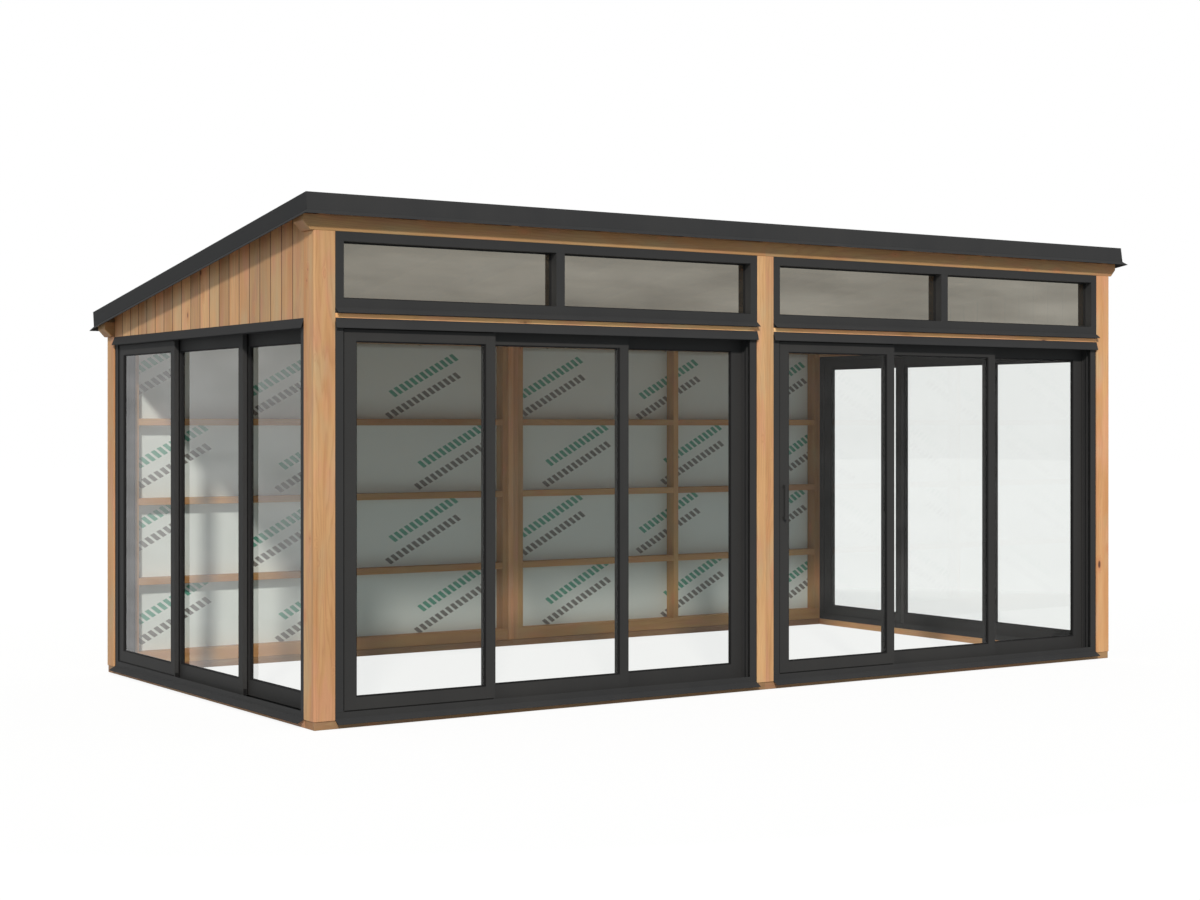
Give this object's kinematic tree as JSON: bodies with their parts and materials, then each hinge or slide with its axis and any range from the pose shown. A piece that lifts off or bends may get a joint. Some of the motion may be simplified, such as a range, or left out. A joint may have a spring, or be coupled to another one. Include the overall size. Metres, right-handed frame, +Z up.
{
  "type": "summerhouse",
  "caption": "Lean-to timber summerhouse with a boarded back wall, glazed sliding doors on the front and both ends, and top lights above the front doors.",
  "frame": {"origin": "on the ground, at the middle of the building's outline seen from above", "axes": "+X along the front from its left end to its right end, +Y from the front to the back, +Z up"},
  "size_m": [6.18, 3.2242, 2.8129],
  "materials": {
    "timber": "planed softwood with a light oil",
    "boards": "planed softwood boards",
    "frame_metal": "fine matt powder coat, anthracite",
    "sash_metal": "fine matt powder coat, anthracite",
    "trim_metal": "matt coated sheet, anthracite",
    "roof_felt": "mineral felt, near black",
    "membrane": "matt woven wind membrane",
    "glass": "clear toughened glass"
  },
  "bodies": {
    "building": {"sills_long": "timber", "sills_end": "timber", "front_posts": "timber", "rear_posts": "timber", "front_plate": "timber", "rear_plate": "timber", "front_headers": "timber", "end_headers": "timber", "rafters": "timber", "roof_deck": "boards", "roof_covering": "roof_felt", "eave_boards": "timber", "verge_boards": "timber", "eave_trims": "trim_metal", "verge_trims": "trim_metal", "left_gable": "boards", "right_gable": "boards", "back_studs": "timber", "back_rails": "timber", "back_noggins": "timber", "back_membrane": "membrane", "back_boards": "boards", "left_toplight_frame": "frame_metal", "right_toplight_frame": "frame_metal", "toplight_panes": "glass", "toplight_sills": "trim_metal", "front_left_frame": "frame_metal", "front_right_frame": "frame_metal", "left_frame": "frame_metal", "right_frame": "frame_metal", "head_flashings": "trim_metal", "sill_flashings": "trim_metal"},
    "front_left_outer_door": {"front_left_outer_sash": "sash_metal", "front_left_outer_glass": "glass"},
    "front_left_middle_door": {"front_left_middle_sash": "sash_metal", "front_left_middle_glass": "glass"},
    "front_left_inner_door": {"front_left_inner_sash": "sash_metal", "front_left_inner_glass": "glass"},
    "front_right_outer_door": {"front_right_outer_sash": "sash_metal", "front_right_outer_glass": "glass"},
    "front_right_middle_door": {"front_right_middle_sash": "sash_metal", "front_right_middle_glass": "glass"},
    "front_right_inner_door": {"front_right_inner_sash": "sash_metal", "front_right_inner_glass": "glass"},
    "left_outer_door": {"left_outer_sash": "sash_metal", "left_outer_glass": "glass"},
    "left_middle_door": {"left_middle_sash": "sash_metal", "left_middle_glass": "glass"},
    "left_inner_door": {"left_inner_sash": "sash_metal", "left_inner_glass": "glass"},
    "right_outer_door": {"right_outer_sash": "sash_metal", "right_outer_glass": "glass"},
    "right_middle_door": {"right_middle_sash": "sash_metal", "right_middle_glass": "glass"},
    "right_inner_door": {"right_inner_sash": "sash_metal", "right_inner_glass": "glass"}
  },
  "joints": [
    {"name": "front_left_outer_slide", "type": "slide", "parent": "building", "child": "front_left_outer_door", "axis": [1, 0, 0], "range_m": [0, 1.78]},
    {"name": "front_left_middle_slide", "type": "slide", "parent": "building", "child": "front_left_middle_door", "axis": [1, 0, 0], "range_m": [-0.88, 0.86]},
    {"name": "front_left_inner_slide", "type": "slide", "parent": "building", "child": "front_left_inner_door", "axis": [1, 0, 0], "range_m": [-1.8, 0]},
    {"name": "front_right_outer_slide", "type": "slide", "parent": "building", "child": "front_right_outer_door", "axis": [1, 0, 0], "range_m": [0, 1.78]},
    {"name": "front_right_middle_slide", "type": "slide", "parent": "building", "child": "front_right_middle_door", "axis": [1, 0, 0], "range_m": [-0.88, 0.86]},
    {"name": "front_right_inner_slide", "type": "slide", "parent": "building", "child": "front_right_inner_door", "axis": [1, 0, 0], "range_m": [-1.8, 0]},
    {"name": "left_outer_slide", "type": "slide", "parent": "building", "child": "left_outer_door", "axis": [0, -1, 0], "range_m": [0, 1.77]},
    {"name": "left_middle_slide", "type": "slide", "parent": "building", "child": "left_middle_door", "axis": [0, -1, 0], "range_m": [-0.88, 0.85]},
    {"name": "left_inner_slide", "type": "slide", "parent": "building", "child": "left_inner_door", "axis": [0, -1, 0], "range_m": [-1.8, 0]},
    {"name": "right_outer_slide", "type": "slide", "parent": "building", "child": "right_outer_door", "axis": [0, 1, 0], "range_m": [0, 1.77]},
    {"name": "right_middle_slide", "type": "slide", "parent": "building", "child": "right_middle_door", "axis": [0, 1, 0], "range_m": [-0.88, 0.85]},
    {"name": "right_inner_slide", "type": "slide", "parent": "building", "child": "right_inner_door", "axis": [0, 1, 0], "range_m": [-1.8, 0]}
  ]
}
